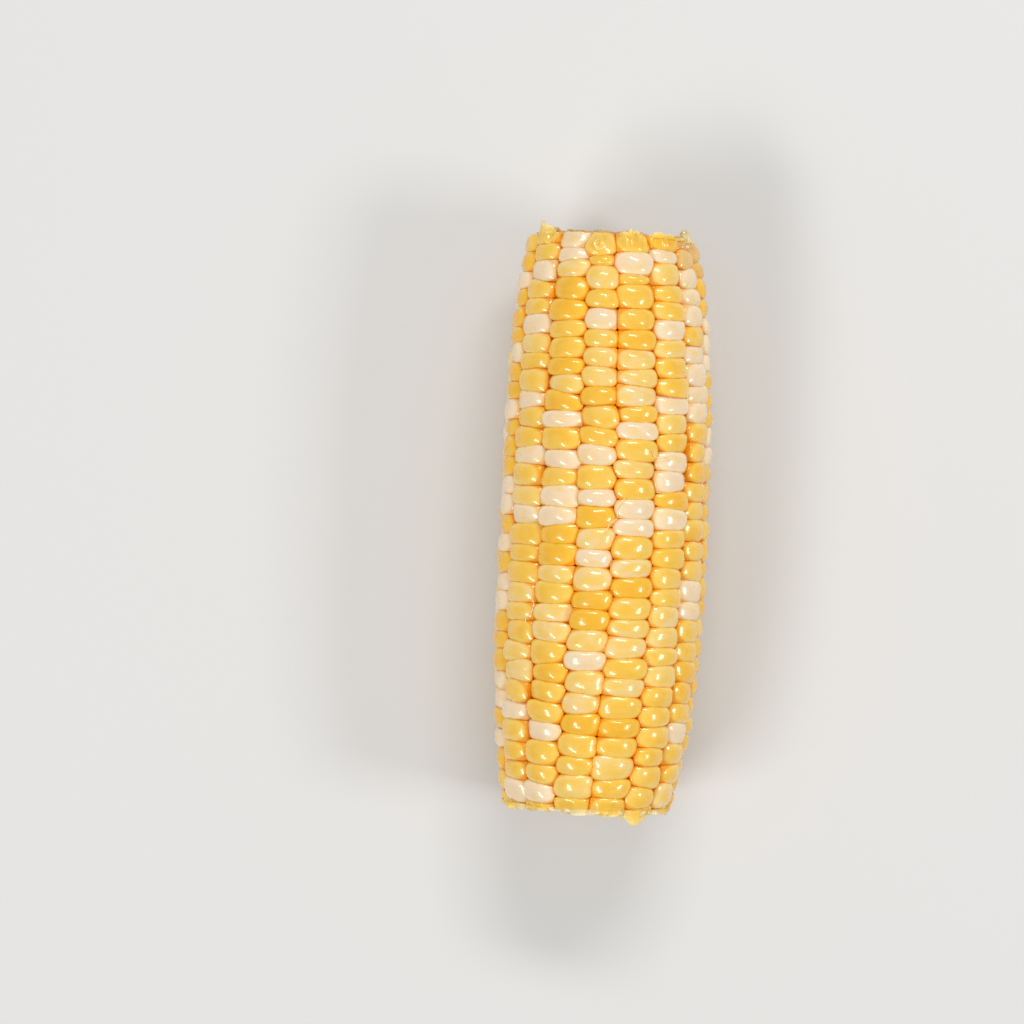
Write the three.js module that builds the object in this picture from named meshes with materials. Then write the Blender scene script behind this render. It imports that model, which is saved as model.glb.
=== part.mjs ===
// One trimmed ear of sweet corn, cut square at both ends and lying on its side. All sizes are in
// millimetres.
//
// The ear lies along Y, with its tip end towards +Y and its butt end towards -Y. X runs across it and +Z is
// up. The origin is on the surface that the ear lies on, at the middle of its length and of its width.
//
// A cob core carries sixteen rows of kernels. The kernels of a row are joined into one solid, whose back
// dips in a groove between each kernel and the next. A row stands clear of the core by SEAT_GAP and of the
// rows beside it by ROW_GAP. The ear rests on the two rows that meet straight below its axis.
import * as THREE from "three";

// The whole ear
const EAR_LENGTH = 140.3; // from cut face to cut face
const FULLEST_RADIUS = 26.1; // from the axis to the kernel crowns, where the ear is thickest
const TIP_RADIUS = 21.3; // the same at the tip's cut face
const BUTT_RADIUS = 21.5; // the same at the butt's cut face
const FULLEST_Y = -15.4; // where the ear is thickest, from the middle of its length
const TIP_FULLNESS = 4; // power of the narrowing towards the tip: a higher one narrows later
const BUTT_FULLNESS = 2.4; // the same towards the butt
const BOW = 1; // how far the middle of the ear stands out towards +X, past the two ends

// Rows. Each row's first edge, in degrees round the ear from straight up towards +X: at the tip's cut, at
// the middle of the ear and at the butt's cut. A row ends where the next one starts.
const ROW_STARTS = [
  [-18.2, -16.9, -25.7],
  [0.6, 4.8, -0.7],
  [23.8, 28.8, 27.2],
  [48.4, 52.7, 52.4],
  [72, 78, 78],
  [95, 98, 98],
  [117, 119, 119],
  [139, 140, 140],
  [159, 159, 159],
  [180, 180, 180],
  [201, 201, 201],
  [225, 224, 219],
  [248.5, 248, 241],
  [272, 272, 263],
  [292.2, 294.3, 283.2],
  [317.8, 319.5, 309.8],
];
const ROW_GAP = 0.3; // clearance between one row and the next
const SEAT_GAP = 0.3; // clearance between a row and the core

// Kernels
const KERNEL_DEPTH = 10.6; // from a kernel's crown down to the core
const KERNEL_PITCH = 4.75; // usual length of a kernel along the ear
const CROWDING = 0.055; // how much shorter the kernels are at the tip, and longer at the butt, as a share
const SPARSE_ROWS = [0, 3, 6, 12]; // rows, counted from 0, that hold one kernel fewer, each a little longer
const GROOVE_STRAY = 0.06; // how far a groove strays from its even place, as a share of a kernel's length
const KERNEL_TURN = 2.4; // radians that the straying steps on from one kernel to the next
const ROW_TURN = 1.7; // radians that it steps on from one row to the next
const LEFT_AT_BUTT = [3.3, 1.4]; // length of the kernel that the butt cut left, in even and odd pairs of rows
const LEFT_AT_TIP = [4.4, 2.5]; // the same at the tip cut
const CROWNED_KERNEL = 3.7; // a kernel left longer than this at either cut keeps its own crown
const GROOVE_DEPTH = 1.5; // how far the back of a row dips between two kernels
const SHOULDER_DROP = 2.4; // how far a kernel's flanks start below the middle of its crown
const CROWN_SHARE = 0.55; // width of a kernel's crown between its two bends, as a share of its row's span
const CROWN_ARCH = 0.55; // how far those bends lie below the middle of the crown

// Core
const CORE_SIDES = 32;
const CORE_STEPS = 14; // along the ear

const KERNEL_FINISH = new THREE.MeshStandardMaterial({ color: 0xf0bb45, roughness: 0.28, metalness: 0 });
const COB_FINISH = new THREE.MeshStandardMaterial({ color: 0xe9dcb4, roughness: 0.85, metalness: 0 });

// Radius to the kernel crowns at a place along the ear.
function crownRadius(y) {
  const [end, endRadius, fullness] =
    y > FULLEST_Y
      ? [EAR_LENGTH / 2, TIP_RADIUS, TIP_FULLNESS]
      : [-EAR_LENGTH / 2, BUTT_RADIUS, BUTT_FULLNESS];
  const share = (y - FULLEST_Y) / (end - FULLEST_Y);
  return FULLEST_RADIUS - (FULLEST_RADIUS - endRadius) * share ** fullness;
}

// Radius of the core, which lies one kernel's depth under the crowns.
function coreRadius(y) {
  return crownRadius(y) - KERNEL_DEPTH;
}

// How far the ear's axis stands off the straight line between its ends.
function bowAt(y) {
  return BOW * (1 - ((2 * y) / EAR_LENGTH) ** 2);
}

// Angle at which a row starts, at a place along the ear. Past the last row, the first one comes round again.
function rowStart(row, y) {
  const [atTip, atMiddle, atButt] = ROW_STARTS[row % ROW_STARTS.length];
  const turns = Math.floor(row / ROW_STARTS.length);
  const share = (2 * Math.abs(y)) / EAR_LENGTH;
  const degrees = 360 * turns + atMiddle + ((y > 0 ? atTip : atButt) - atMiddle) * share ** 2;
  return THREE.MathUtils.degToRad(degrees);
}

// Places of the grooves between the kernels of a row. The two rows of a pair start and end alike, and the
// pairs alternate.
function grooves(row) {
  const alternate = Math.floor(row / 2) % 2;
  const start = -EAR_LENGTH / 2 + LEFT_AT_BUTT[alternate];
  const span = EAR_LENGTH / 2 - LEFT_AT_TIP[alternate] - start;
  const wholeKernels = Math.round(span / KERNEL_PITCH) - (SPARSE_ROWS.includes(row) ? 1 : 0);
  return Array.from({ length: wholeKernels + 1 }, (_, i) => {
    const stray = GROOVE_STRAY * Math.sin(row * ROW_TURN + i * KERNEL_TURN);
    const share = (i + stray) / wholeKernels;
    return start + span * (share + CROWDING * share * (1 - share));
  });
}

// Places along a row with how far the row's back has risen there: 0 in a groove and 1 at a crown. The
// kernels at the ends are cut through, so each ends at the height that it has reached at the cut.
function stations(row) {
  const places = grooves(row);
  const cutAt = (end, groove) => {
    const length = Math.abs(end - groove);
    const crown = { y: groove + (Math.sign(end - groove) * KERNEL_PITCH) / 2, rise: 1 };
    const cut = { y: end, rise: Math.min(1, length / (KERNEL_PITCH / 2)) };
    return length > CROWNED_KERNEL ? [crown, cut] : [cut];
  };
  const list = cutAt(-EAR_LENGTH / 2, places[0]).reverse();
  places.forEach((y, i) => {
    list.push({ y, rise: 0 });
    if (i < places.length - 1) list.push({ y: (y + places[i + 1]) / 2, rise: 1 });
  });
  return list.concat(cutAt(EAR_LENGTH / 2, places.at(-1)));
}

// One cross-section of a row that is centred on the angle middle and reaches half to each side: seven
// corners, up from the core, over the arched crown and down to the core again.
function section(middle, half, y, rise) {
  const crown = crownRadius(y) - GROOVE_DEPTH * (1 - rise);
  const root = (coreRadius(y) + SEAT_GAP) / Math.cos(half);
  const flank = (radius, side) => [
    side * (radius * Math.sin(half) - (ROW_GAP / 2) * Math.cos(half)),
    radius * Math.cos(half) + (ROW_GAP / 2) * Math.sin(half),
  ];
  const bend = (side) => [
    (crown - CROWN_ARCH) * Math.sin(side * CROWN_SHARE * half),
    (crown - CROWN_ARCH) * Math.cos(side * CROWN_SHARE * half),
  ];
  const corners = [
    flank(root, -1),
    flank(crown - SHOULDER_DROP, -1),
    bend(-1),
    [0, crown],
    bend(1),
    flank(crown - SHOULDER_DROP, 1),
    flank(root, 1),
  ];
  return corners.map(([across, out]) => [
    across * Math.cos(middle) + out * Math.sin(middle) + bowAt(y),
    y,
    out * Math.cos(middle) - across * Math.sin(middle),
  ]);
}

// A closed solid through cross-sections of equal corner counts, with flat ends.
function loft(sections) {
  const count = sections[0].length;
  const faces = [];
  for (let i = 0; i < sections.length - 1; i++) {
    for (let j = 0; j < count; j++) {
      const [a, b] = [i * count + j, i * count + ((j + 1) % count)];
      faces.push(a, b, a + count, b, b + count, a + count);
    }
  }
  const last = (sections.length - 1) * count;
  for (let j = 1; j < count - 1; j++) {
    faces.push(0, j + 1, j, last, last + j, last + j + 1);
  }
  const geometry = new THREE.BufferGeometry();
  geometry.setAttribute("position", new THREE.Float32BufferAttribute(sections.flat(2), 3));
  geometry.setIndex(faces);
  geometry.computeVertexNormals();
  return geometry;
}

// The core: a round body turned about the ear's axis, then bowed with it.
function coreGeometry() {
  const profile = [new THREE.Vector2(0, -EAR_LENGTH / 2)];
  for (let i = 0; i <= CORE_STEPS; i++) {
    const y = EAR_LENGTH * (i / CORE_STEPS - 0.5);
    profile.push(new THREE.Vector2(coreRadius(y), y));
  }
  profile.push(new THREE.Vector2(0, EAR_LENGTH / 2));
  const geometry = new THREE.LatheGeometry(profile, CORE_SIDES);
  const position = geometry.getAttribute("position");
  for (let i = 0; i < position.count; i++) {
    position.setX(i, position.getX(i) + bowAt(position.getY(i)));
  }
  return geometry;
}

// A row of kernels, from where it starts round the ear to where the next row starts.
function kernelRow(row) {
  const sections = stations(row).map(({ y, rise }) => {
    const [from, to] = [rowStart(row, y), rowStart(row + 1, y)];
    return section((from + to) / 2, (to - from) / 2, y, rise);
  });
  const mesh = new THREE.Mesh(loft(sections), KERNEL_FINISH);
  mesh.name = `kernel_row_${String(row + 1).padStart(2, "0")}`;
  return mesh;
}

// The whole ear about its own axis.
function ear() {
  const group = new THREE.Group();
  const core = new THREE.Mesh(coreGeometry(), COB_FINISH);
  core.name = "cob_core";
  group.add(core);
  ROW_STARTS.forEach((_, row) => group.add(kernelRow(row)));
  return group;
}

// Sets the ear down, so that the origin is under the middle of its box.
function laidDown(group) {
  const box = new THREE.Box3().setFromObject(group);
  const centre = box.getCenter(new THREE.Vector3());
  group.position.set(-centre.x, -centre.y, -box.min.z);
  const part = new THREE.Group();
  part.add(group);
  return part;
}

export default laidDown(ear());
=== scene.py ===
"""The looks of one trimmed ear of bicolour sweet corn, built round its CAD model.

Every kernel is modelled on its own. Its place comes from the CAD rows: a kernel fills the cell between two
grooves and two row edges, and neighbouring cells share the space between them. The ear is unrolled for this:
a place on it is an angle round the axis and a distance along Y. Lengths are in millimetres until a mesh is
made. The tip end is at +Y, and the butt end at -Y.
"""

import math

import bmesh
import bpy
import numpy as np
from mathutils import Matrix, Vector, noise


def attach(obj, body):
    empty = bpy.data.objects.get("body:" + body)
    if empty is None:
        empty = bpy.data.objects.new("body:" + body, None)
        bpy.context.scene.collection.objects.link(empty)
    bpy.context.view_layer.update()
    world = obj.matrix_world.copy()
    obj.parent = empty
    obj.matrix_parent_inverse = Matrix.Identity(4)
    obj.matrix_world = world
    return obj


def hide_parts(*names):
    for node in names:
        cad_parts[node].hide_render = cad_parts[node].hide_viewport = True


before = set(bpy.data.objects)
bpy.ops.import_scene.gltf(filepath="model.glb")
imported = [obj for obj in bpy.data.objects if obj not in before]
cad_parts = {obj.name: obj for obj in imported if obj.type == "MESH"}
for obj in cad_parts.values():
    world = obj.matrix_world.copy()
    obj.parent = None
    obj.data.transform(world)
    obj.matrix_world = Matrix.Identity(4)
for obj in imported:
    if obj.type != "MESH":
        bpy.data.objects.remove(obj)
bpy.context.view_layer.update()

MM = 0.001  # metres in a millimetre
TAU = 2 * math.pi
SEED = 11

# Kernels
PRESSED_IN = 0.1  # how far a kernel's skin gives into the one that it presses on
REACH_ACROSS = 18.0  # how far round the ear a kernel's neighbours are looked for
REACH_ALONG = 14.0  # the same along the ear
SKIN_SHARPNESS = 3.2  # power that rounds a cell's corners at the surface: a higher one squares them
PRESSED_SHARPNESS = 20.0  # the same below the surface, where kernels press each other into prisms
WIDTH_WEIGHT = 0.5  # how much a step across the rows counts, beside one along them, when kernels share space
SIZE_ACROSS = 0.5  # power of a kernel's size in its width, beside its length
DOME_HEIGHT = 3.0  # height of the full dome that a kernel's crown is part of
ARCH = 0.7  # how far a crown falls towards its row's edges on top of that
DOME_POWER = 2.35  # fullness of the dome's outline: 2 is an ellipse
DOME_TURN = math.radians(53)  # how far round the dome the skin comes before kernels touch: 90 is upright
DOME_RINGS = 12
# Down the wall: share of the width, share of the depth, and how far kernels have pressed each other square
WALL_RINGS = ((1, 0.03, 0.6), (1, 0.08, 1), (0.99, 0.3, 1), (0.93, 0.5, 1), (0.8, 0.78, 0.8), (0.6, 1, 0.5))
SEGMENTS = 48  # points round a kernel
CUT_SEGMENTS = 120  # points round a kernel that a cut goes through

# Kernel shades, read along each row from the tip to the butt: w white, p pale, y yellow, d deep yellow.
# The rows that face down have no pattern here, and draw their shades from the same mix.
SHADES = {
    "kernel_row_01": "yypywyppdyywywdpwpddpwppdyypy",
    "kernel_row_02": "ywyyydpppywypywwypdyppypydypyy",
    "kernel_row_03": "dwpyywpyywpywwdwyyyyppypyyyyyyy",
    "kernel_row_04": "ppwwwywwwwyydyyyyywwyyddywyypp",
    "kernel_row_05": "pdddwwwdddwwdddyddddyddddyddd",
    "kernel_row_14": "ydwdddwddwdddwwdwdwwdddwwdwdy",
    "kernel_row_15": "yywyywpyywyywypwyyypyyppywyyywy",
    "kernel_row_16": "wwpddyydpdwywywwddpyppydyywyywy",
}
SHADE_MIX = "wwwppppyyyyyddd"
SHADE_LEVEL = {"w": 0.0, "p": 0.36, "y": 0.68, "d": 1.0}

# Kernels that grew thin between their neighbours, or large: row and place from the tip, then the share of the
# usual size and how far the kernel sits towards the tip from its even place
ODD_KERNELS = {
    ("kernel_row_01", 0): (1.3, -0.65),
    ("kernel_row_01", 1): (0.45, 0.0),
    ("kernel_row_01", 2): (1.3, 0.5),
    ("kernel_row_02", 1): (1.25, -0.4),
    ("kernel_row_02", 2): (0.62, -0.1),
    ("kernel_row_02", 3): (1.2, 0.3),
    ("kernel_row_02", 4): (1.15, -0.6),
    ("kernel_row_02", 5): (1.05, -1.2),
    ("kernel_row_02", 6): (0.95, -1.2),
    ("kernel_row_02", 7): (1.0, -1.0),
    ("kernel_row_02", 8): (1.0, -0.6),
    ("kernel_row_02", 9): (1.0, -0.3),
    ("kernel_row_03", 0): (1.3, -0.4),
    ("kernel_row_03", 1): (0.8, -0.2),
    ("kernel_row_03", 2): (1.15, 0.0),
    ("kernel_row_03", 3): (1.0, -0.3),
    ("kernel_row_16", 0): (1.4, -0.6),
    ("kernel_row_16", 1): (0.68, -0.4),
    ("kernel_row_16", 2): (1.0, 0.3),
    ("kernel_row_16", 3): (1.12, 0.0),
    ("kernel_row_16", 4): (1.1, -0.7),
    ("kernel_row_16", 5): (1.05, -1.0),
    ("kernel_row_16", 6): (1.0, -1.1),
    ("kernel_row_16", 7): (1.0, -0.9),
    ("kernel_row_16", 8): (1.0, -0.6),
    ("kernel_row_16", 9): (1.0, -0.3),
}

# Kernels near the tip whose skins are bruised brown and glassy: row, place from the tip, how far
DULL = {
    ("kernel_row_04", 0): 0.9,
    ("kernel_row_04", 1): 0.5,
    ("kernel_row_05", 0): 0.7,
    ("kernel_row_05", 1): 0.5,
    ("kernel_row_06", 0): 0.6,
    ("kernel_row_10", 0): 0.5,
    ("kernel_row_13", 0): 0.6,
}


# ---------------------------------------------------------------- reading the CAD model


def cad_points(name):
    """Vertices of a CAD node, in millimetres."""
    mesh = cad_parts[name].data
    flat = np.empty(3 * len(mesh.vertices))
    mesh.vertices.foreach_get("co", flat)
    return flat.reshape(-1, 3) / MM


def levels(points):
    """The points of each cross-section of a node that was lofted along Y."""
    points = points[np.argsort(points[:, 1])]
    starts = np.flatnonzero(np.diff(points[:, 1]) > 0.1) + 1
    return np.split(points, starts)


CORE_LEVELS = levels(cad_points("cob_core"))
CORE_Y = np.array([level[:, 1].mean() for level in CORE_LEVELS])
CORE_CENTRE = np.array([(level.min(0) + level.max(0)) / 2 for level in CORE_LEVELS])
CORE_RADIUS = np.array([np.ptp(level[:, 2]) / 2 for level in CORE_LEVELS])
BUTT, TIP = CORE_Y[0], CORE_Y[-1]
AXIS_Z = CORE_CENTRE[0, 2]


def axis_x(y):
    """Where the bowed axis lies across the ear, at a place along it."""
    return np.interp(y, CORE_Y, CORE_CENTRE[:, 0])


def core_radius(y):
    return np.interp(y, CORE_Y, CORE_RADIUS)


def around(points):
    """Angle from straight up towards +X, and distance from the axis, of some points."""
    across, up = points[:, 0] - axis_x(points[:, 1]), points[:, 2] - AXIS_Z
    return np.arctan2(across, up), np.hypot(across, up)


def placed(angle, radius, y):
    """Points given by their angle, distance from the axis and place along it."""
    across, up = axis_x(y) + radius * np.sin(angle), AXIS_Z + radius * np.cos(angle)
    return np.stack([across, y + 0 * radius, up], axis=-1)


def wrapped(angle):
    """An angle brought within half a turn of zero."""
    return (angle + math.pi) % TAU - math.pi


class Row:
    """One CAD row: its two sides along the ear, its grooves and the depth of its kernels."""

    def __init__(self, name):
        self.name = name
        sections = levels(cad_points(name))
        turns = [around(section)[0] for section in sections]
        middle = math.atan2(np.sin(turns[0]).mean(), np.cos(turns[0]).mean())
        self.lows = middle + np.array([wrapped(turn - middle).min() for turn in turns])
        self.highs = middle + np.array([wrapped(turn - middle).max() for turn in turns])
        self.ys = np.array([section[:, 1].mean() for section in sections])
        tops = np.array([around(section)[1].max() for section in sections])
        before, here, after = tops[:-2], tops[1:-1], tops[2:]
        crowns = self.ys[1:-1][(here > before) & (here > after)]
        self.grooves = self.ys[1:-1][(here < before) & (here < after)]
        self.depth = float(np.median(np.interp(crowns, self.ys, tops) - core_radius(crowns)))


ROWS = [Row(name) for name in sorted(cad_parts) if name.startswith("kernel_row")]


def border(number, y):
    """Angle halfway between a row and the next one round the ear, at a place along it."""
    row, after = ROWS[number % len(ROWS)], ROWS[(number + 1) % len(ROWS)]
    high = np.interp(y, row.ys, row.highs)
    return high + wrapped(np.interp(y, after.ys, after.lows) - high) / 2


def row_middle(number, y):
    """The middle angle of a row's span and the span, at a place along the ear."""
    low, high = border(number - 1, y), border(number, y)
    span = (high - low) % TAU
    return low + span / 2, span


KERNEL_DEPTH = float(np.median([row.depth for row in ROWS]))
PITCH = float(np.mean(np.concatenate([np.diff(row.grooves) for row in ROWS])))


def crown_radius(y):
    """Radius of the ear over the kernel crowns."""
    return core_radius(y) + KERNEL_DEPTH


# ---------------------------------------------------------------- kernel cells


def smooth(value, low, high):
    """0 below low, 1 above high, and an even curve between."""
    share = np.clip((value - low) / (high - low), 0, 1)
    return share * share * (3 - 2 * share)


class Kernels:
    """Every kernel's place and character, as arrays with one entry per kernel.

    Each row runs one kernel past both cuts, which only gives the last kernels a neighbour and isn't built.
    """

    def __init__(self, generator):
        table = []
        for number, row in enumerate(ROWS):
            before, beyond = row.grooves[0] - PITCH, row.grooves[-1] + PITCH
            borders = np.concatenate([[before - PITCH, before], row.grooves, [beyond, beyond + PITCH]])
            count = len(borders) - 1
            drawn = generator.integers(0, len(SHADE_MIX), count)
            for k in range(count):
                rank = count - 2 - k
                known = SHADES.get(row.name)
                letter = known[min(max(rank, 0), len(known) - 1)] if known else SHADE_MIX[drawn[k]]
                size, shift = ODD_KERNELS.get((row.name, rank), (1.0, 0.0))
                end = {1: -1, count - 2: 1}.get(k, 0)
                built = 0 < k < count - 1
                ends = (borders[k], borders[k + 1])
                table.append((number, rank, *ends, SHADE_LEVEL[letter], size, shift, end, built))
        columns = np.array(table).T
        self.row, self.rank = columns[0].astype(int), columns[1].astype(int)
        self.y, self.length = (columns[2] + columns[3]) / 2, columns[3] - columns[2]
        self.shade, self.size = columns[4], columns[5]
        self.end, self.built = columns[7].astype(int), columns[8].astype(bool)
        count = len(self.row)
        self.size = self.size * (1 + generator.normal(0, 0.035, count))
        self.y = self.y + columns[6] + generator.normal(0, 0.14, count)
        self.radius = crown_radius(self.y)
        self.angle, self.width = np.array([row_middle(r, y) for r, y in zip(self.row, self.y)]).T
        self.angle = self.angle + generator.normal(0, 0.3, count) / self.radius
        self.lift = generator.normal(0, 0.17, count) - 0.8 * np.clip(0.85 - self.size, 0, 1)
        self.lift = np.where(np.cos(self.angle) < -0.95, -0.3 - np.abs(self.lift), self.lift)
        self.lean = generator.normal(0, 0.06, (count, 2))
        self.chance = generator.random(count)
        self.phase = generator.random((count, 4)) * TAU

    def outline(self, i, direction, sharpness):
        """Distance from kernel i's centre to its cell's edge, in each direction over the unrolled ear."""
        across = wrapped(self.angle - self.angle[i]) * self.radius[i]
        along = self.y - self.y[i]
        near = (np.abs(across) < REACH_ACROSS) & (np.abs(along) < REACH_ALONG)
        near[i] = False
        across, along = across[near], along[near]
        same_row = self.row[near] == self.row[i]
        power = np.where(same_row, 1, SIZE_ACROSS)
        mine = np.where(same_row, self.length[i], self.width[i]) * self.size[i] ** power
        theirs = np.where(same_row, self.length[near], self.width[near]) * self.size[near] ** power
        weighted = np.stack([across * WIDTH_WEIGHT, along], axis=1)
        span = mine / (mine + theirs) * (weighted * np.stack([across, along], axis=1)).sum(1)

        def closeness(towards):
            return np.maximum(towards @ weighted.T, 0) / span

        def rounded(towards):
            return (closeness(towards) ** sharpness).sum(1) ** (-1 / sharpness)

        # Rounding pulls the outline off the neighbours it should touch, so it is let out again towards each.
        facing = np.stack([across, along], axis=1) / np.hypot(across, along)[:, None]
        pressed = closeness(facing)
        touching = pressed.argmax(1) == np.arange(len(facing))
        facing, pressed = facing[touching], pressed[touching].max(1)
        let_out = 1 / pressed / rounded(facing)
        turn = np.arctan2(direction[:, 1], direction[:, 0])
        eased = np.interp(turn, np.arctan2(facing[:, 1], facing[:, 0]), let_out, period=TAU)
        return eased * rounded(direction) + PRESSED_IN


GENERATOR = np.random.default_rng(SEED)
KERNELS = Kernels(GENERATOR)


def ring_profile():
    """Rings of a kernel from its crown to its root: share of the width, drop below the crown, stage, and how
    far the outline is pressed square. The stage is that share on the dome, and 1 to 2 down the wall."""
    bend = 2 / DOME_POWER
    rings = []
    for k in range(1, DOME_RINGS + 1):
        turn = DOME_TURN * k / DOME_RINGS
        share = (math.sin(turn) / math.sin(DOME_TURN)) ** bend
        rings.append((share, DOME_HEIGHT * (1 - math.cos(turn) ** bend), share, 0))
    shoulder = rings[-1][1]
    wall = KERNEL_DEPTH - shoulder
    rings += [(share, shoulder + wall * fall, 1 + fall, pressed) for share, fall, pressed in WALL_RINGS]
    return np.array(rings)


RINGS = ring_profile()


def kernel_island(i, segments):
    """Points, faces and point values of one whole kernel."""
    turn = np.arange(segments) / segments * TAU
    half_width, half_length = KERNELS.width[i] * KERNELS.radius[i] / 2, KERNELS.length[i] / 2
    direction = np.stack([half_width * np.cos(turn), half_length * np.sin(turn)], axis=1)
    direction /= np.linalg.norm(direction, axis=1)[:, None]
    skin_edge = KERNELS.outline(i, direction, SKIN_SHARPNESS)
    pressed_edge = KERNELS.outline(i, direction, PRESSED_SHARPNESS)
    share, drop, stage, pressed = RINGS.T
    edge = skin_edge + pressed[:, None] * (pressed_edge - skin_edge)
    flat = (share[:, None] * edge)[:, :, None] * direction
    flat = np.concatenate([[[0, 0]], flat.reshape(-1, 2), [[0, 0]]])
    drop = np.concatenate([[0], np.repeat(drop, segments), [RINGS[-1, 1]]])
    stage = np.concatenate([[0], np.repeat(stage, segments), [2]])
    u, v = flat[:, 0] / half_width, flat[:, 1] / half_length
    p = KERNELS.phase[i]
    dents = 0.06 * np.sin(2.3 * u + p[0]) * np.sin(1.9 * v + p[1]) + 0.03 * np.sin(5 * u + p[2] + 2 * v)
    if KERNELS.end[i] != 0:
        dents = dents + crown_damage(i, u, v, half_length)
    lift = KERNELS.lift[i] + KERNELS.lean[i] @ flat.T + dents
    y = KERNELS.y[i] + flat[:, 1]
    radius = crown_radius(y) - drop + (lift - ARCH * u**2) * np.clip(2 - stage, 0, 1)
    angle = KERNELS.angle[i] + flat[:, 0] / KERNELS.radius[i]
    downwards = np.maximum(-np.cos(angle), 1e-6)
    radius = np.minimum(radius, AXIS_Z / downwards)  # no lower than the surface that the ear lies on
    values = {
        "stage": stage,
        "shade": np.full(len(stage), KERNELS.shade[i]),
        "chance": np.full(len(stage), KERNELS.chance[i]),
        "dull": np.full(len(stage), DULL.get((ROWS[KERNELS.row[i]].name, KERNELS.rank[i]), 0.0)),
        "flesh": np.zeros(len(stage)),
        "spot_u": u,
        "spot_v": v,
    }
    return placed(angle, radius, y), island_faces(len(RINGS), segments), values


def crown_damage(i, u, v, half_length):
    """How the knife left the crown of an end kernel: sunk, ribbed or curled towards the cut."""
    end = KERNELS.end[i]
    cut = ((TIP if end > 0 else BUTT) - KERNELS.y[i]) / half_length
    near = smooth(v * end, cut * end - 1.7, cut * end)
    p = KERNELS.phase[i]
    name = ROWS[KERNELS.row[i]].name
    if end < 0:
        folds = 0.25 * np.sin(5 * u + p[0] + v) + 0.15 * np.sin(11 * u + p[1])
        return near * (folds - 0.8 - 0.4 * math.sin(p[3]))
    if name == "kernel_row_01":
        dv = (v - cut + 1.05) * 0.65
        swirl = np.hypot(u, dv)
        turn = np.arctan2(dv, u)
        return -1.3 * near**2 + 0.42 * np.sin(13 * swirl - turn) * np.exp(-((swirl / 0.55) ** 2))
    if name == "kernel_row_16":
        return -0.9 * near
    sunk = 0.4 + 0.2 * math.sin(p[3])
    ribs = 0.4 * np.sin(6 * u + p[0] + 1.2 * v) + 0.25 * np.sin(14 * u + p[1])
    return near * (ribs - sunk)


def island_faces(rings, segments):
    """Faces of a closed form made of a first point, rings of points and a last point, facing out."""
    faces = []
    last = 1 + rings * segments
    for s in range(segments):
        t = (s + 1) % segments
        faces.append((0, 1 + s, 1 + t))
        for r in range(rings - 1):
            a, b = 1 + r * segments, 1 + (r + 1) * segments
            faces.append((a + s, b + s, b + t, a + t))
        faces.append((last, last - segments + t, last - segments + s))
    return faces


# ---------------------------------------------------------------- cut kernels


def noise_along(places, seed, frequency):
    """Smooth noise from about -1 to 1 at each point of a list."""
    shift = Vector((seed * 7.31, seed * 3.17, seed * 1.93))
    return np.array([noise.noise(Vector(p) * frequency + shift) for p in places])


SKIN = 0.28  # thickness of a cut kernel's skin
CAP_SHARES = (0.96, 0.9, 0.82, 0.72, 0.6, 0.48, 0.36, 0.24, 0.12)


def cut_kernel(i, segments):
    """An end kernel, cut off at the knife's plane, with a ragged lip of skin round its bared flesh."""
    end = KERNELS.end[i]
    plane = TIP if end > 0 else BUTT
    points, faces, values = kernel_island(i, segments)
    mesh = bmesh.new()
    layers = {name: mesh.verts.layers.float.new(name) for name in values}
    for n, point in enumerate(points):
        vertex = mesh.verts.new(point)
        for name, layer in layers.items():
            vertex[layer] = values[name][n]
    mesh.verts.ensure_lookup_table()
    for face in faces:
        mesh.faces.new([mesh.verts[n] for n in face])
    bmesh.ops.bisect_plane(
        mesh,
        geom=mesh.verts[:] + mesh.edges[:] + mesh.faces[:],
        plane_co=(0, plane, 0),
        plane_no=(0, end, 0),
        clear_outer=True,
    )
    add_cap(mesh, layers, i, end)
    mesh.verts.index_update()
    points = np.array([vertex.co[:] for vertex in mesh.verts])
    faces = [tuple(vertex.index for vertex in face.verts) for face in mesh.faces]
    values = {name: np.array([vertex[layer] for vertex in mesh.verts]) for name, layer in layers.items()}
    mesh.free()
    return points, faces, values


def rim_of(mesh):
    """The open edge that the knife left, as vertices in order."""
    edges = [edge for edge in mesh.edges if edge.is_boundary]
    beside = {}
    for edge in edges:
        for vertex in edge.verts:
            beside.setdefault(vertex, []).append(edge.other_vert(vertex))
    rim = [edges[0].verts[0]]
    rim.append(beside[rim[0]][0])
    while True:
        following = [vertex for vertex in beside[rim[-1]] if vertex is not rim[-2]][0]
        if following is rim[0]:
            return rim
        rim.append(following)


RIMS = {-1: [], 1: []}  # angle and distance from the axis of each point along the kernels' cut edges, by end


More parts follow.
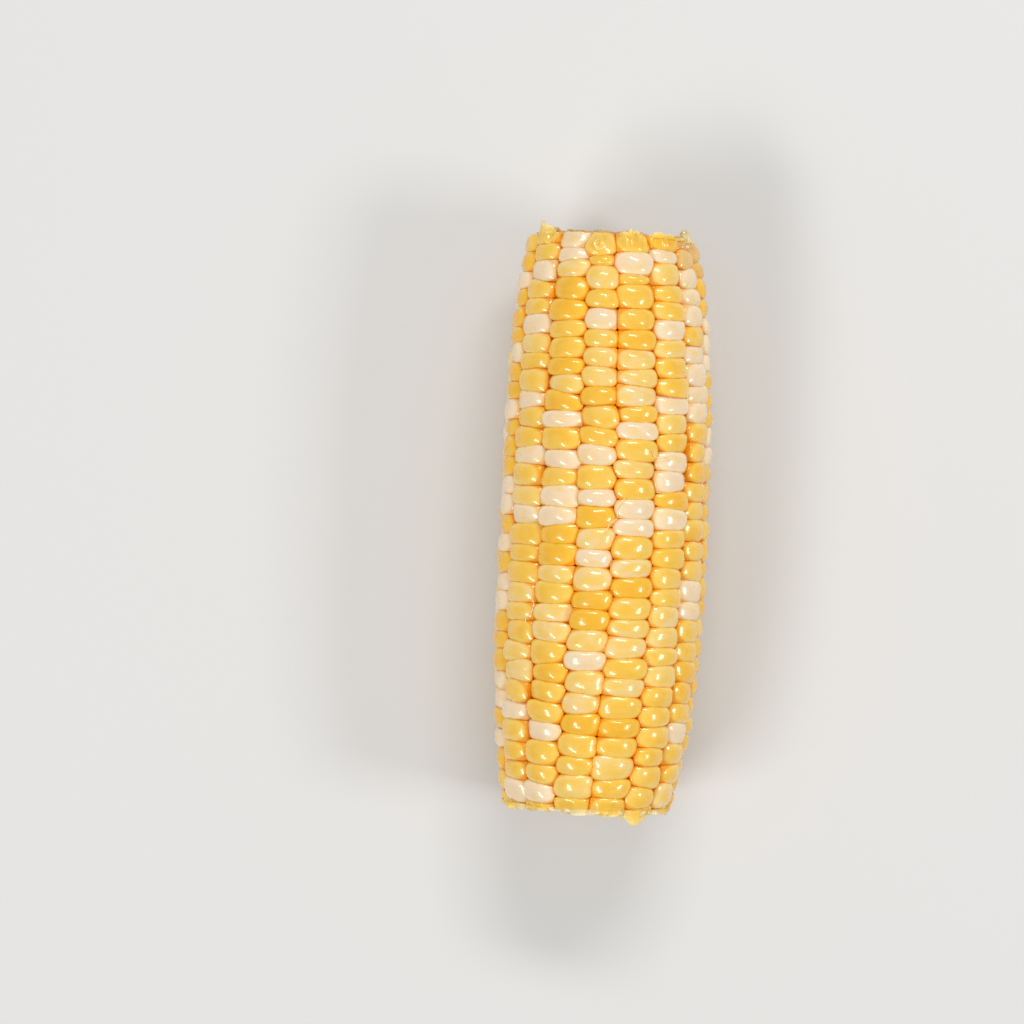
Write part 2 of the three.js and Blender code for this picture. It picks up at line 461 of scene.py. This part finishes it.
def add_cap(mesh, layers, i, end):
    """Close a cut kernel with its lip and its flesh."""
    rim = rim_of(mesh)
    at = np.array([vertex.co[:] for vertex in rim])
    RIMS[end].append(np.stack(around(at)))
    heart = (at.min(0) + at.max(0)) / 2
    outward = np.array([0, end, 0])
    _, radius = around(at)
    high = smooth(radius, radius.max() - 4.5, radius.max() - 0.5)
    ragged = 0.5 + noise_along(at, i, 0.4) + 0.5 * noise_along(at, i + 500, 1.1)
    length = (0.8 if end < 0 else 0.2) * (0.2 + high)
    lip = np.clip(ragged, 0.05, None) * length
    to_heart = heart - at
    reach = np.linalg.norm(to_heart, axis=1)
    inset = to_heart / reach[:, None] * np.minimum(SKIN, 0.3 * reach)[:, None]
    for vertex, out in zip(rim, lip):
        vertex.co += Vector(outward * out)
        vertex[layers["flesh"]] = 0.7 if end < 0 else 0.3
    rings = [at + inset + outward * (lip * 0.9)[:, None]]
    inner = at + inset
    sunk = -0.35 if end > 0 else -0.1
    rings.append(inner + outward * sunk + (heart - inner) * 0.02)
    bulge = 0.35 if end > 0 else 0.7
    for share in CAP_SHARES:
        ring = heart + (inner - heart) * share
        rough = 0.5 * noise_along(ring, i + 900, 0.5) + 0.25 * noise_along(ring, i + 40, 1.4)
        rings.append(ring + outward * (sunk + bulge * (1 - share**2) + rough * (1 - share**4))[:, None])
    made = [rim]
    for ring in rings:
        made.append([new_flesh(mesh, layers, point, source) for point, source in zip(ring, rim)])
    middle = new_flesh(mesh, layers, heart + outward * (sunk + bulge), rim[0])
    turned = faces_follow(rim)
    count = len(rim)
    for outer, nearer in zip(made, made[1:]):
        for n in range(count):
            m = (n + 1) % count
            corners = [outer[n], outer[m], nearer[m], nearer[n]]
            mesh.faces.new(corners[::-1] if turned else corners)
    for n in range(count):
        corners = [made[-1][n], made[-1][(n + 1) % count], middle]
        mesh.faces.new(corners[::-1] if turned else corners)


def new_flesh(mesh, layers, point, source):
    """A vertex of a cut kernel's inside, which keeps the kernel's own shade."""
    vertex = mesh.verts.new(point)
    for layer in layers.values():
        vertex[layer] = source[layer]
    vertex[layers["flesh"]] = 1
    return vertex


def faces_follow(rim):
    """Whether the skin's faces run the same way along the rim as its order."""
    first, second = rim[0], rim[1]
    face = next(edge for edge in first.link_edges if edge.other_vert(first) is second).link_faces[0]
    loop = next(loop for loop in face.loops if loop.vert is first)
    return loop.link_loop_next.vert is second


# ---------------------------------------------------------------- meshes


class Collector:
    """Gathers islands into one mesh with point attributes."""

    def __init__(self):
        self.points, self.faces, self.values, self.count = [], [], {}, 0

    def add(self, points, faces, values):
        self.faces.extend(tuple(v + self.count for v in face) for face in faces)
        self.points.append(np.asarray(points))
        for name, value in values.items():
            self.values.setdefault(name, []).append(np.asarray(value))
        self.count += len(points)

    def piece(self, name, material, slot, replaced=()):
        mesh = bpy.data.meshes.new(name)
        mesh.from_pydata((np.concatenate(self.points) * MM).tolist(), [], self.faces)
        mesh.shade_smooth()
        for key, value in self.values.items():
            attribute = mesh.attributes.new(key, "FLOAT", "POINT")
            attribute.data.foreach_set("value", np.concatenate(value).astype(np.float32))
        mesh.materials.append(material)
        piece = bpy.data.objects.new(name, mesh)
        bpy.context.scene.collection.objects.link(piece)
        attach(piece, "root")
        if replaced:
            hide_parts(*replaced)
        return piece


# ---------------------------------------------------------------- materials


def srgb(red, green, blue):
    """A colour given as 0 to 255 on a screen, as a shader's linear colour."""
    scaled = [c / 255 for c in (red, green, blue)]
    return tuple(c / 12.92 if c <= 0.04045 else ((c + 0.055) / 1.055) ** 2.4 for c in scaled) + (1.0,)


def add_node(tree, kind, sockets=(), **settings):
    """A node with its settings and its input sockets, given by name or number as a value or a link."""
    made = tree.nodes.new(kind)
    for name, value in settings.items():
        setattr(made, name, value)
    for name, value in dict(sockets).items():
        if isinstance(value, bpy.types.NodeSocket):
            tree.links.new(value, made.inputs[name])
        else:
            made.inputs[name].default_value = value
    return made


def attribute(tree, name):
    return add_node(tree, "ShaderNodeAttribute", attribute_name=name).outputs["Fac"]


def math_node(tree, operation, a, b=0.0):
    return add_node(tree, "ShaderNodeMath", {0: a, 1: b}, operation=operation).outputs[0]


def stretch(tree, value, low, high, to_low=0.0, to_high=1.0):
    """value mapped smoothly from one range to another."""
    sockets = {"Value": value, "From Min": low, "From Max": high, "To Min": to_low, "To Max": to_high}
    return add_node(tree, "ShaderNodeMapRange", sockets, interpolation_type="SMOOTHSTEP").outputs["Result"]


def mix(tree, factor, a, b):
    sockets = {0: factor, 6: a, 7: b}
    return add_node(tree, "ShaderNodeMix", sockets, data_type="RGBA").outputs[2]


def noise_node(tree, place, scale, detail):
    sockets = {"Vector": place, "Scale": scale, "Detail": detail}
    return add_node(tree, "ShaderNodeTexNoise", sockets).outputs["Fac"]


def ramp(tree, value, stops):
    made = add_node(tree, "ShaderNodeValToRGB", {"Fac": value})
    elements = made.color_ramp.elements
    while len(elements) < len(stops):
        elements.new(0.5)
    for element, (place, colour) in zip(elements, stops):
        element.position, element.color = place, colour
    return made.outputs["Color"]


def new_material(name):
    made = bpy.data.materials.new(name)
    made.use_nodes = True
    tree = made.node_tree
    return made, tree, tree.nodes["Principled BSDF"]


def kernel_colour(tree):
    """The skin's colour: each kernel's own shade, a paler edge that is partly painted light, and painted
    crease shade.
    """
    names = ("shade", "stage", "chance", "flesh", "dull", "spot_u", "spot_v")
    shade, stage, chance, flesh, dull, across, along = (attribute(tree, name) for name in names)
    own_place = math_node(tree, "MULTIPLY", chance, 90.0)
    spot = add_node(tree, "ShaderNodeCombineXYZ", {0: across, 1: along, 2: own_place}).outputs[0]
    mottle, veins = noise_node(tree, spot, 1.1, 3.0), noise_node(tree, spot, 7.0, 4.0)
    tone = math_node(tree, "ADD", shade, stretch(tree, mottle, 0.3, 0.7, -0.13, 0.13))
    tone = math_node(tree, "ADD", tone, stretch(tree, chance, 0, 1, -0.06, 0.06))
    tone = math_node(tree, "ADD", tone, stretch(tree, veins, 0.3, 0.7, -0.04, 0.04))
    heart = ramp(tree, tone, HEART_TONES)
    # Lighter towards the crown's edge: partly the kernel's own paler rim, partly painted light glowing
    # through its edge.
    rim = ramp(tree, tone, PALE_RIM_AND_PAINTED_LIGHT_TONES)
    skin = mix(tree, stretch(tree, stage, 0.4, 0.9), heart, rim)
    skin = mix(tree, dull, skin, mix(tree, mottle, srgb(206, 150, 74), srgb(228, 190, 130)))
    # Painted shade: the skin turns a deeper orange down into the creases, standing in for shade and light
    # glowing through the kernels there.
    skin = mix(tree, stretch(tree, stage, 0.84, 1.0), skin, ramp(tree, shade, PAINTED_CREASE_SHADE_TONES))
    starch = ramp(tree, mottle, STARCH_TONES)
    skin = mix(tree, stretch(tree, stage, 1.12, 1.4), skin, starch)
    return mix(tree, flesh, skin, starch), mottle


HEART_TONES = (
    (0.0, srgb(238, 211, 172)),
    (0.36, srgb(240, 201, 104)),
    (0.68, srgb(241, 192, 68)),
    (1.0, srgb(240, 181, 44)),
)
# Edge colours of the crown: partly the kernels' own paler rim, partly painted light.
PALE_RIM_AND_PAINTED_LIGHT_TONES = (
    (0.0, srgb(246, 222, 186)),
    (0.36, srgb(247, 211, 122)),
    (0.68, srgb(248, 203, 84)),
    (1.0, srgb(246, 193, 52)),
)
# Painted crease shade: the deeper orange that the creases between kernels are given.
PAINTED_CREASE_SHADE_TONES = ((0.0, srgb(246, 196, 124)), (0.4, srgb(248, 172, 44)), (1.0, srgb(246, 158, 12)))
STARCH_TONES = ((0.3, srgb(244, 208, 124)), (0.55, srgb(248, 226, 170)), (0.75, srgb(252, 240, 208)))


def kernel_material():
    made, tree, shader = new_material("kernel_skin")
    colour, mottle = kernel_colour(tree)
    tree.links.new(colour, shader.inputs["Base Color"])
    tree.links.new(stretch(tree, mottle, 0.3, 0.7, 0.2, 0.3), shader.inputs["Roughness"])
    set_gloss(shader, subsurface=0.2, spread=0.0015, coat=0.7, coat_roughness=0.08)
    return made


def set_gloss(shader, subsurface, spread, coat, coat_roughness):
    """How far light sinks into living tissue, and how wet its skin is."""
    shader.inputs["Subsurface Weight"].default_value = subsurface
    shader.inputs["Subsurface Radius"].default_value = (1.0, 0.6, 0.3)
    shader.inputs["Subsurface Scale"].default_value = spread
    shader.inputs["IOR"].default_value = 1.42
    shader.inputs["Coat Weight"].default_value = coat
    shader.inputs["Coat Roughness"].default_value = coat_roughness


def cob_material():
    """Pale pith, a ring of veins, the woody ring and the chaff round it, by distance from the axis."""
    made, tree, shader = new_material("cob_pith")
    spread, across, up = (attribute(tree, name) for name in ("spread", "fibre_x", "fibre_z"))
    place = add_node(tree, "ShaderNodeCombineXYZ", {0: across, 1: up, 2: 0.0}).outputs[0]
    sponge = noise_node(tree, place, 1.1, 5.0)
    flecks = add_node(tree, "ShaderNodeTexVoronoi", {"Vector": place, "Scale": 1.5}).outputs["Distance"]
    wavy = math_node(tree, "ADD", spread, stretch(tree, sponge, 0.3, 0.7, -0.5, 0.5))
    by_radius = math_node(tree, "DIVIDE", wavy, 14.0)
    zones = ramp(tree, by_radius, COB_ZONES)
    dotted = mix(tree, stretch(tree, flecks, 0.12, 0.34, 0.6, 0.0), zones, srgb(196, 170, 108))
    in_wood = math_node(tree, "MULTIPLY", stretch(tree, wavy, 3.8, 4.6), stretch(tree, wavy, 9.4, 8.2))
    colour = mix(tree, in_wood, zones, dotted)
    colour = mix(tree, stretch(tree, sponge, 0.35, 0.75, 0.0, 0.5), colour, srgb(222, 200, 150))
    tree.links.new(colour, shader.inputs["Base Color"])
    tree.links.new(stretch(tree, sponge, 0.3, 0.7, 0.55, 0.75), shader.inputs["Roughness"])
    height = math_node(tree, "ADD", sponge, math_node(tree, "MULTIPLY", flecks, 0.6))
    bump = add_node(tree, "ShaderNodeBump", {"Height": height, "Strength": 0.5, "Distance": 0.0003})
    tree.links.new(bump.outputs[0], shader.inputs["Normal"])
    set_gloss(shader, subsurface=0.25, spread=0.0015, coat=0.1, coat_roughness=0.3)
    return made


COB_ZONES = (
    (0.0, srgb(250, 241, 220)),
    (0.27, srgb(248, 236, 208)),
    (0.33, srgb(230, 208, 156)),
    (0.42, srgb(241, 228, 186)),
    (0.62, srgb(236, 217, 166)),
    (0.72, srgb(243, 218, 154)),
    (1.0, srgb(234, 188, 108)),
)


def torn_material():
    """Torn skin: yellow where it leaves its kernel, thinning to a glassy cream at its edge."""
    made, tree, shader = new_material("torn_skin")
    tint, reach = attribute(tree, "tint"), attribute(tree, "reach")
    place = add_node(tree, "ShaderNodeTexCoord").outputs["Object"]
    crumple = noise_node(tree, place, 900.0, 4.0)
    thinned = math_node(tree, "ADD", reach, stretch(tree, crumple, 0.3, 0.7, -0.2, 0.2))
    skin, edge = ramp(tree, tint, TORN_TONES), ramp(tree, tint, TORN_EDGE_TONES)
    tree.links.new(mix(tree, stretch(tree, thinned, 0.3, 1.0), skin, edge), shader.inputs["Base Color"])
    tree.links.new(stretch(tree, crumple, 0.3, 0.7, 0.25, 0.45), shader.inputs["Roughness"])
    set_gloss(shader, subsurface=0.1, spread=0.001, coat=0.3, coat_roughness=0.15)
    return made


TORN_TONES = ((0.0, srgb(200, 142, 72)), (0.5, srgb(240, 212, 146)), (1.0, srgb(245, 194, 62)))
TORN_EDGE_TONES = ((0.0, srgb(218, 174, 110)), (0.5, srgb(248, 234, 200)), (1.0, srgb(249, 220, 138)))


def film_material():
    """The glassy empty skin of a kernel that lost its flesh."""
    made, tree, shader = new_material("empty_skin")
    place = add_node(tree, "ShaderNodeTexCoord").outputs["Object"]
    crumple = noise_node(tree, place, 700.0, 3.0)
    colour = ramp(tree, crumple, ((0.3, srgb(226, 192, 122)), (0.7, srgb(246, 230, 186))))
    tree.links.new(colour, shader.inputs["Base Color"])
    tree.links.new(stretch(tree, crumple, 0.3, 0.7, 0.1, 0.3), shader.inputs["Roughness"])
    shader.inputs["Transmission Weight"].default_value = 0.15
    set_gloss(shader, subsurface=0.1, spread=0.001, coat=0.6, coat_roughness=0.08)
    return made


# ---------------------------------------------------------------- pieces

KERNEL_SKIN = kernel_material()
COB_PITH = cob_material()
TORN_SKIN = torn_material()
EMPTY_SKIN = film_material()


def kernel_rows():
    for number, row in enumerate(ROWS):
        gathered = Collector()
        for i in np.flatnonzero((KERNELS.row == number) & KERNELS.built):
            if KERNELS.end[i] != 0:
                gathered.add(*cut_kernel(i, CUT_SEGMENTS))
            else:
                gathered.add(*kernel_island(i, SEGMENTS))
        gathered.piece(f"kernels_{row.name[-2:]}", KERNEL_SKIN, "kernels", [row.name])


COB_SEGMENTS = 512  # points round the cob
COB_STATIONS = 40  # rings along it
RIDGE_HEIGHT = 3.4  # chaff that stands up between two rows of kernel roots
RIDGE_REACH = 0.07  # half its width at its foot, in radians
SEATED = 0.3  # how far the kernel roots sit in the cob
FACE_RADII = (10.3, 9.6, 8.9, 8.3, 7.6, 6.8, 5.9, 5.1, 4.6, 4.1, 3.6, 2.8, 1.9, 0.9)


def cob():
    """The core with chaff ridges between the rows, and its two bared faces."""
    turn = np.arange(COB_SEGMENTS) / COB_SEGMENTS * TAU
    rings = [cob_face(turn, chaff_ridges(turn, BUTT), BUTT, -1, radius) for radius in FACE_RADII[::-1]]
    for y in np.linspace(BUTT, TIP, COB_STATIONS):
        rings.append((core_radius(y) + SEATED + chaff_ridges(turn, y), np.full(COB_SEGMENTS, y)))
    rings += [cob_face(turn, chaff_ridges(turn, TIP), TIP, 1, radius) for radius in FACE_RADII]
    points = [placed(turn, radius, y) for radius, y in rings]
    spread = [radius for radius, _ in rings]
    at_butt, at_tip = (placed(np.zeros(1), np.zeros(1), np.array([y])) for y in (BUTT + 0.5, TIP - 0.5))
    points = np.concatenate([at_butt, *points, at_tip])
    spread = np.concatenate([[0], *spread, [0]])
    values = {
        "spread": spread,
        "fibre_x": points[:, 0] - axis_x(points[:, 1]),
        "fibre_z": points[:, 2] - AXIS_Z,
    }
    gathered = Collector()
    gathered.add(points, island_faces(len(rings), COB_SEGMENTS), values)
    gathered.piece("cob", COB_PITH, "cob", ["cob_core"])


def chaff_ridges(turn, y):
    """How far the chaff stands out of the core at each angle, between two rows and under them."""
    borders = np.array([border(number, y) for number in range(len(ROWS))])
    away = np.abs(wrapped(turn[:, None] - borders)).min(1)
    return RIDGE_HEIGHT * np.clip(1 - away / RIDGE_REACH, 0, 1)


def cob_face(turn, ridge, plane, end, radius):
    """One ring of a bared face: sunken pith, a firm woody ring, and rough torn chaff outside it."""
    outer = radius == FACE_RADII[0]
    around_axis = np.full(len(turn), radius) + (0.8 * ridge if outer else 0)
    across, up = around_axis * np.sin(turn), around_axis * np.cos(turn)
    flat = np.stack([across, np.full(len(turn), plane), up], axis=1)
    pith, chaff = 1 - smooth(radius, 3.6, 5.1), smooth(radius, 8.0, 9.6)
    rough = 0.1 + 0.1 * pith + 0.45 * chaff
    bumps = noise_along(flat, 70 + end, 0.6) + 0.7 * noise_along(flat, 80 + end, 1.8)
    fibres = noise_along(flat / max(radius, 1) * 9, 90 + end, 1.3)
    height = -0.55 * pith + 0.25 * (1 - pith) * (1 - chaff) + rough * bumps + 0.12 * (1 - pith) * fibres
    return around_axis, plane + end * height


# ---------------------------------------------------------------- torn skins


def sheet(grid, thickness, reach, tint):
    """A thin closed skin laid over a grid of points, thinner towards the far side of the grid."""
    across, along = np.gradient(grid, axis=0), np.gradient(grid, axis=1)
    normal = np.cross(across, along)
    normal /= np.maximum(np.linalg.norm(normal, axis=2), 1e-9)[:, :, None]
    half = thickness / 2 * (1 - 0.7 * reach)[:, :, None] * normal
    points = np.concatenate([(grid + half).reshape(-1, 3), (grid - half).reshape(-1, 3)])
    rows, columns = grid.shape[:2]
    back = rows * columns
    faces = []
    for i in range(rows - 1):
        for j in range(columns - 1):
            a, b = i * columns + j, (i + 1) * columns + j
            faces.append((a, b, b + 1, a + 1))
            faces.append((back + a + 1, back + b + 1, back + b, back + a))
    edge = [(i, 0) for i in range(rows)] + [(rows - 1, j) for j in range(1, columns)]
    edge += [(i, columns - 1) for i in range(rows - 2, -1, -1)] + [(0, j) for j in range(columns - 2, 0, -1)]
    numbers = [i * columns + j for i, j in edge]
    for a, b in zip(numbers, numbers[1:] + numbers[:1]):
        faces.append((b, a, back + a, back + b))
    values = {"reach": np.tile(reach.reshape(-1), 2), "tint": np.full(len(points), tint)}
    return points, faces, values


def ragged_edge(generator, u):
    """Share of its length that a torn edge keeps, along its width from -1 to 1."""
    lobes, teeth, nicks = (generator.random() * 50 for _ in range(3))

    def torn(x):
        slow = 0.8 * noise.noise((1.2 * x, lobes, 0)) + 0.4 * noise.noise((3 * x, teeth, 0))
        return 0.66 + slow + 0.2 * noise.noise((9 * x, nicks, 0))

    share = np.array([torn(x) for x in u.ravel()])
    return np.clip(share, 0.12, 1.2).reshape(u.shape) * (1 - 0.85 * u**4)


RIM_SLOPE = 25.0  # millimetres per radian that a scrap's foot may dip between two kernels


def rim_radius(end, angle):
    """Distance from the axis of the kernels' outer cut edge, at some angles round a cut."""
    turns, radii = np.concatenate(RIMS[end], axis=1)
    away = np.abs(wrapped(angle.reshape(-1, 1) - turns))
    return (radii - RIM_SLOPE * away).max(1).reshape(angle.shape)


def shred(generator, end, angle, depth, width, length, curl, tint, slant=0.0, steps=(30, 9), edge=None):
    """A torn scrap of skin that stands out of a cut face, at a depth below the kernels' outer cut edge.

    Across it runs round the ear, and along it leaves the face, bending away from the axis by curl and
    sideways by slant. Its far edge is ragged, or follows the shares of its length that edge gives, from its
    low side to its high one.
    """
    u = np.linspace(-1, 1, steps[0])[:, None]
    v = np.linspace(0, 1, steps[1])[None, :]
    p = generator.random(3) * TAU
    torn = ragged_edge(generator, u)
    if edge:
        torn = 0.12 * torn + np.interp(u, np.linspace(-1, 1, len(edge)), edge) - 0.08
    out = length * v * torn
    sideways = width / 2 * u * (1 - 0.2 * v) + slant * out + 0.1 * v * np.sin(5 * u + p[0])
    fold = 0.25 * np.sin(2.6 * u + p[1]) * v + 0.1 * np.sin(8 * u + p[2]) * v
    plane = TIP if end > 0 else BUTT
    turn = angle + sideways / (crown_radius(plane) - depth)
    start = rim_radius(end, turn) - depth
    root = 0.5
    y = plane + end * (out - root * (1 - v))
    grid = placed(turn, start + curl * out**2 / length + fold, y + 0 * u)
    return sheet(grid, 0.4 if end < 0 else 0.3, v + 0 * u, tint)


def torn_skins():
    """Scraps of skin and chaff that the knife left standing round both cuts."""
    generator = np.random.default_rng(SEED + 1)
    butt, tip = Collector(), Collector()
    for number in range(len(ROWS)):
        middle, span = row_middle(number, BUTT)
        for place in (-0.33, 0, 0.33):
            angle = middle + span * (place + generator.normal(0, 0.06))
            width, length = 3.6 + 3 * generator.random(), 0.6 + 0.8 * generator.random()
            tint = generator.choice([0.6, 0.85, 1.0])
            butt.add(*shred(generator, -1, angle, AT_RIM, width, length, generator.normal(-0.2, 0.2), tint))
        for place in (-0.2, 0.2):
            angle = middle + span * (place + generator.normal(0, 0.08))
            depth, width = 1.5 + 3 * generator.random(), 2.6 + 2 * generator.random()
            length = 0.6 + generator.random()
            butt.add(*shred(generator, -1, angle, depth, width, length, 0.1, 0.5))
        middle, span = row_middle(number, TIP)
        for place in (-0.25, 0.25):
            angle = middle + span * (place + generator.normal(0, 0.08))
            depth, length = 0.9 + 0.4 * generator.random(), 0.7 + 0.4 * generator.random()
            if number in BROWN_AT_TIP or generator.random() < 0.4:
                tip.add(*shred(generator, 1, angle, depth, 6.5, length, 0.05, 0.12, edge=(0.5, 0.9, 1, 0.6)))
            angle = middle + span * (place + generator.normal(0, 0.1))
            width, length = 2 + 2 * generator.random(), 0.3 + 0.4 * generator.random()
            if number not in CLEAN_AT_TIP:
                tip.add(*shred(generator, 1, angle, AT_RIM, width, length, 0.1, generator.choice([0.7, 1.0])))
        for end, gathered in ((-1, butt), (1, tip)):
            for depth in (6.2, 8.0):
                angle = border(number, TIP if end > 0 else BUTT) + generator.normal(0, 0.02)
                depth, length = depth + generator.random(), 0.8 + 0.8 * generator.random()
                gathered.add(*shred(generator, end, angle, depth, 1.3, length, 0.2, 0.4))
    special_scraps(generator, butt, tip)
    butt.piece("torn_skins_butt", TORN_SKIN, "chaff")
    tip.piece("torn_skins_tip", TORN_SKIN, "chaff")


AT_RIM = -0.05  # depth of a scrap that carries on a kernel's skin
CLEAN_AT_TIP = (0, 1, 2, 15)  # rows, counted from 0, whose first kernels carry no chance scraps
BROWN_AT_TIP = (0, 1, 15)  # rows that always have a brown torn edge behind those kernels
FINE = (48, 16)  # steps across and along a large scrap
WHITE_TIP = (0.4, 0.7, 1.0, 1.05, 0.85, 0.6, 0.4)
POINTED = (0.2, 0.4, 0.7, 1.1, 0.6, 0.3)
BROAD = (0.7, 0.9, 0.8, 1.0, 0.9, 0.6)
FLAP = (0.8, 1.1, 1.0, 0.85, 0.7, 0.6, 0.5)
JAGGED = (0.2, 0.5, 0.4, 1.1, 0.6, 0.8, 0.4, 0.2)
FOLDED = (0.9, 1.0, 0.5, 0.4, 0.7, 0.8, 0.3)


def special_scraps(generator, butt, tip):
    """The large scraps: four at the butt, below the first three rows, and at the tip a folded flap on the
    fifteenth row and the jagged tops of the second and third."""
    second, third = border(0, BUTT), border(1, BUTT)
    butt.add(*shred(generator, -1, third + 0.16, AT_RIM, 8.6, 3.2, -0.3, 0.95, 0, FINE, WHITE_TIP))
    butt.add(*shred(generator, -1, third - 0.07, AT_RIM, 3.8, 1.9, -0.2, 1.0, 0.1, FINE, POINTED))
    butt.add(*shred(generator, -1, third - 0.25, AT_RIM, 8.8, 1.2, -0.2, 1.0, 0, FINE, BROAD))
    butt.add(*shred(generator, -1, second - 0.1, AT_RIM, 8.4, 1.2, -0.2, 0.6, 0, FINE, BROAD[::-1]))
    flap_middle, jagged_middle, folded_middle = (row_middle(number, TIP)[0] for number in (14, 1, 2))
    tip.add(*shred(generator, 1, flap_middle - 0.04, 0.1, 9.4, 3.2, -0.1, 0.9, -0.15, FINE, FLAP))
    tip.add(*shred(generator, 1, flap_middle + 0.02, 1.4, 9.0, 2.2, 0.1, 0.3, 0, FINE, FLAP))
    tip.add(*shred(generator, 1, jagged_middle, AT_RIM, 7.4, 1.3, 0.1, 0.9, 0, FINE, JAGGED))
    tip.add(*shred(generator, 1, folded_middle, AT_RIM, 7.6, 1.0, 0.1, 1.0, 0, FINE, FOLDED))


# Silk left on the ear: row, place from the middle of the ear, length, and how it turns from along the ear
SILKS = (
    (0, 2.0, 9.0, 0.5),
    (1, 16.5, 7.0, 1.9),
    (4, 5.0, 8.0, -0.7),
    (14, -22.0, 6.5, 0.3),
    (5, -30.0, 9.0, 2.2),
)
SILK_RADIUS = 0.09


def silks():
    """Short dry threads of silk that lie in the creases between kernels, each end lifting off."""
    generator = np.random.default_rng(SEED + 2)
    gathered = Collector()
    steps, sides = 24, 6
    for number, middle, length, heading in SILKS:
        edge = border(number, middle)
        along = np.linspace(-0.5, 0.5, steps)
        p = generator.random(2) * TAU
        sway = 0.5 * np.sin(7 * along + p[0]) + 0.2 * np.sin(15 * along + p[1])
        y = middle + length * along * math.cos(heading) + sway * math.sin(heading)
        across = length * along * math.sin(heading) - sway * math.cos(heading)
        radius = crown_radius(y) - 0.5 + 4 * along**2
        centres = placed(edge + across / radius, radius, y)
        ahead = np.gradient(centres, axis=0)
        ahead /= np.linalg.norm(ahead, axis=1)[:, None]
        side = np.cross(ahead, [0, 1, 0.2])
        side /= np.linalg.norm(side, axis=1)[:, None]
        up = np.cross(side, ahead)
        turn = np.arange(sides) / sides * TAU
        ring = side[:, None] * np.cos(turn)[:, None] + up[:, None] * np.sin(turn)[:, None]
        points = (centres[:, None] + SILK_RADIUS * ring).reshape(-1, 3)
        points = np.concatenate([centres[:1], points, centres[-1:]])
        values = {"reach": np.full(len(points), 0.8), "tint": np.full(len(points), 0.45)}
        gathered.add(points, island_faces(steps, sides), values)
    gathered.piece("silks", TORN_SKIN, "chaff")


def empty_skin():
    """A glassy blister of skin on the first kernel of the fourth row."""
    segments, rings = 36, 18
    angle, _ = row_middle(3, TIP)
    centre = placed(np.array([angle - 0.03]), np.array([crown_radius(TIP) - 0.9]), np.array([TIP + 0.5]))
    turn = np.arange(segments) / segments * TAU
    directions = [[0, 1, 0]]
    for k in range(1, rings):
        tilt = math.pi * k / rings
        out, ahead = math.sin(tilt), math.cos(tilt)
        directions += [(out * math.cos(t), ahead, out * math.sin(t)) for t in turn]
    directions = np.array(directions + [[0, -1, 0]])
    dents = 1 + 0.3 * noise_along(directions, 5, 1.5) + 0.1 * noise_along(directions, 6, 4)
    points = centre + directions * dents[:, None] * [1.45, 1.9, 1.2]
    gathered = Collector()
    faces = [face[::-1] for face in island_faces(rings - 1, segments)]
    gathered.add(points, faces, {"reach": np.ones(len(points))})
    gathered.piece("empty_skin", EMPTY_SKIN, "chaff")


# ---------------------------------------------------------------- floor, light and camera

VIEW_WIDTH = 254.5  # width of the view at the height of the ear's axis
VIEW_DISTANCE = 800  # from the camera down to the ear's axis
EAR_LEAN = math.radians(2.66)  # how far the ear's tip leans to the right in the view
EAR_OFFSET = (22.9, -2.6)  # the ear's middle from the middle of the view, to the right and up
SENSOR_WIDTH = 36.0


def floor():
    bpy.ops.mesh.primitive_plane_add(size=4)
    plane = bpy.context.object
    plane.name = "floor"
    made, _, shader = new_material("floor_plain")
    shader.inputs["Base Color"].default_value = (0.7, 0.695, 0.685, 1)
    shader.inputs["Roughness"].default_value = 0.9
    plane.data.materials.append(made)


def area_light(name, place, size, watts):
    light = bpy.data.lights.new(name, "AREA")
    light.shape = "RECTANGLE"
    light.size, light.size_y, light.energy = size[0], size[1], watts
    lamp = bpy.data.objects.new(name, light)
    lamp.location = place
    lamp.rotation_euler = (-Vector(place)).to_track_quat("-Z", "Y").to_euler()
    bpy.context.scene.collection.objects.link(lamp)


def studio():
    area_light("light_top", (0.1, 0.72, 0.85), (0.6, 0.16), 4.8)
    area_light("light_right", (0.85, -0.15, 0.72), (0.3, 0.22), 3.4)
    area_light("light_left", (-0.6, -0.5, 0.85), (0.55, 0.2), 4.8)
    world = bpy.data.worlds.new("studio")
    world.use_nodes = True
    world.node_tree.nodes["Background"].inputs["Color"].default_value = (1, 1, 1, 1)
    world.node_tree.nodes["Background"].inputs["Strength"].default_value = 0.42
    bpy.context.scene.world = world
    bpy.context.scene.view_settings.view_transform = "Standard"


def camera():
    data = bpy.data.cameras.new("camera")
    data.sensor_width, data.lens = SENSOR_WIDTH, SENSOR_WIDTH * VIEW_DISTANCE / VIEW_WIDTH
    made = bpy.data.objects.new("camera", data)
    right = Vector((math.cos(EAR_LEAN), math.sin(EAR_LEAN), 0))
    up = Vector((-math.sin(EAR_LEAN), math.cos(EAR_LEAN), 0))
    place = -EAR_OFFSET[0] * right - EAR_OFFSET[1] * up
    made.location = (place.x * MM, place.y * MM, (AXIS_Z + VIEW_DISTANCE) * MM)
    made.rotation_euler = (0, 0, EAR_LEAN)
    bpy.context.scene.collection.objects.link(made)
    bpy.context.scene.camera = made


camera()
studio()
floor()
kernel_rows()
cob()
torn_skins()
silks()
empty_skin()
